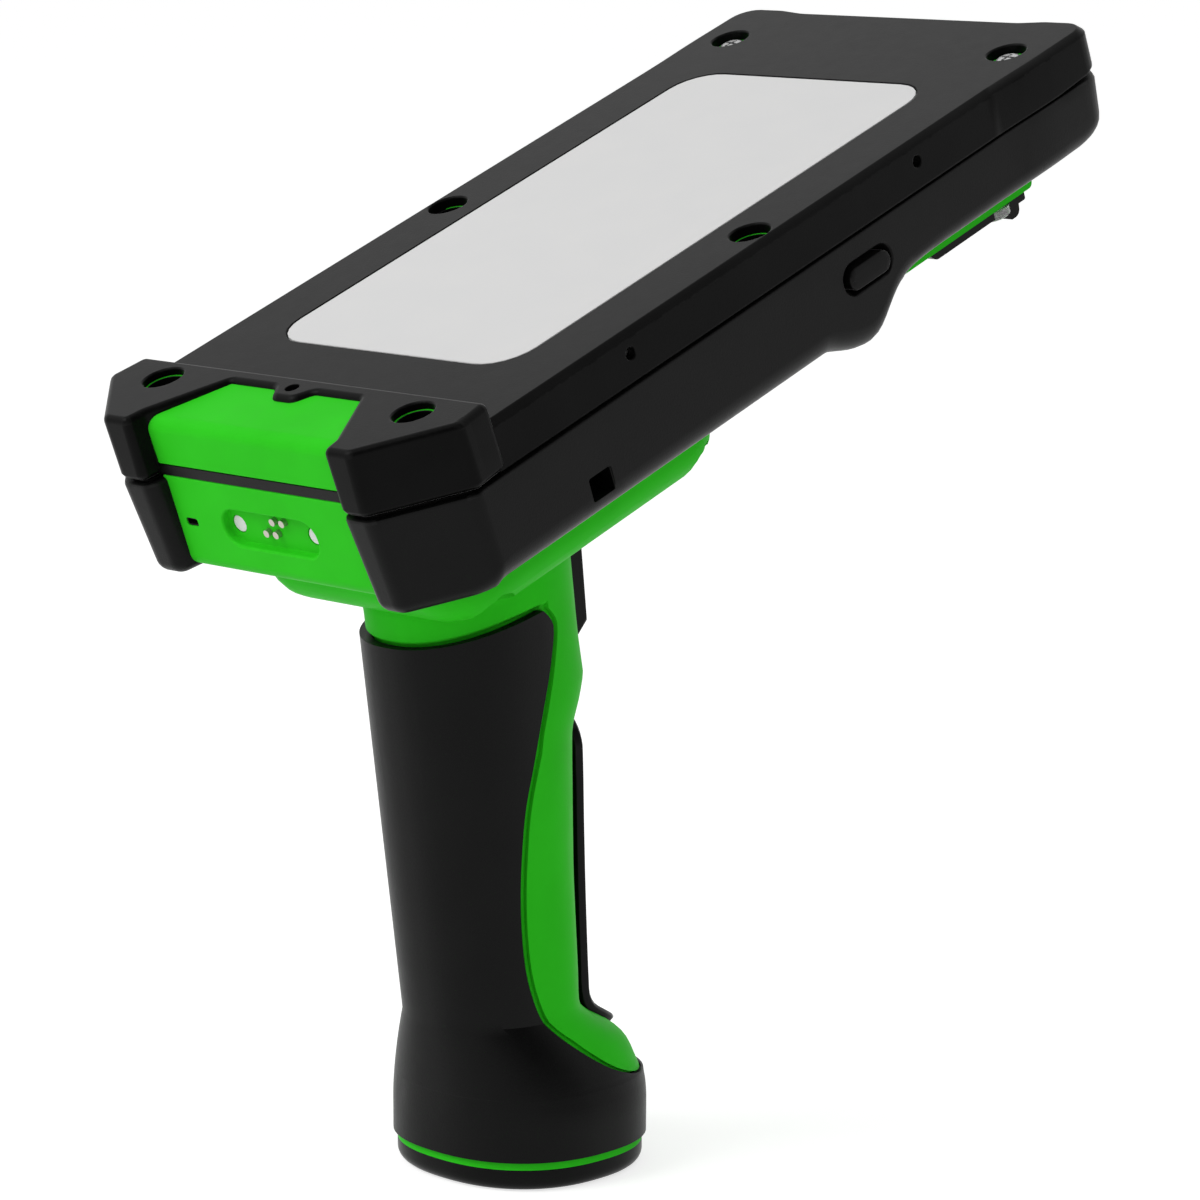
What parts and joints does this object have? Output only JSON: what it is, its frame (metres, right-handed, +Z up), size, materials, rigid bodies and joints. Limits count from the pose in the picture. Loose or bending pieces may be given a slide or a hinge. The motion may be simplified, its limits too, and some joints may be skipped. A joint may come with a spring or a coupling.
{
  "type": "phone scanner case on a pistol grip",
  "caption": "Slanted phone case with a screwed cover and screen window on a pistol grip with trigger, scan module beneath, and a flat base to stand on.",
  "frame": {"origin": "middle of the base on the floor", "axes": "+Z up, +Y towards the scanning end, +X to the right as the user holds the grip"},
  "size_m": [0.0901, 0.183, 0.2081],
  "materials": {
    "black_skin": "soft-touch moulded, satin",
    "green_plastic": "bright green moulding, satin gloss",
    "pale_window": "pale smooth sheet",
    "black_rubber": "moulded rubber, matt",
    "zinc_steel": "zinc plated",
    "black_plastic": "moulded, matt",
    "green_board": "lacquered circuit board",
    "white_plastic": "moulded, smooth",
    "gold_brass": "plated",
    "dark_glass": "dark tinted",
    "clear_glass": "clear",
    "cell_wrap": "shrink wrap"
  },
  "bodies": {
    "case": {"split_seal": "black_rubber", "lower_bumper": "black_skin", "lower_frame": "green_plastic", "phone_tray": "black_plastic", "dock_connector": "black_plastic", "main_board": "green_board", "charge_board": "green_board", "charge_pads": "white_plastic", "charge_pins": "gold_brass", "screw_inserts": "gold_brass", "power_switch": "black_plastic", "scan_engine": "black_plastic", "scan_window": "dark_glass", "optics_bezel": "black_skin", "scan_hood": "black_skin", "flash_lens": "clear_glass", "module_screws": "zinc_steel", "saddle": "green_plastic", "saddle_screws": "zinc_steel", "grip_core_left": "green_plastic", "grip_core_right": "green_plastic", "grip_screws": "zinc_steel", "grip_sleeve": "black_rubber", "finger_pad": "black_rubber", "base_ring": "green_plastic", "base_cap": "black_rubber", "base_screws": "zinc_steel", "battery_cell": "cell_wrap", "cell_contacts": "zinc_steel", "trigger_pin": "zinc_steel", "trigger_spring": "zinc_steel", "trigger_switch": "black_plastic"},
    "cover": {"top_cover": "black_skin", "cover_frame": "green_plastic", "screen_window": "pale_window", "window_seal": "black_rubber", "cover_screws": "zinc_steel", "side_pins": "zinc_steel"},
    "trigger": {"trigger": "black_plastic"},
    "button": {"power_button": "black_plastic"}
  },
  "joints": [
    {"name": "cover_lift", "type": "slide", "parent": "case", "child": "cover", "axis": [0, -0.3623, 0.9321], "range_m": [0, 0.05]},
    {"name": "trigger_pull", "type": "hinge", "parent": "case", "child": "trigger", "pos_m": [0, 0.0025, 0.116], "axis": [-1, 0, 0], "range_deg": [0, 8], "stiffness_Nm_per_rad": 0.35},
    {"name": "power_press", "type": "slide", "parent": "case", "child": "button", "axis": [-1, 0, 0], "range_m": [0, 0.0008], "stiffness_N_per_m": 800}
  ]
}
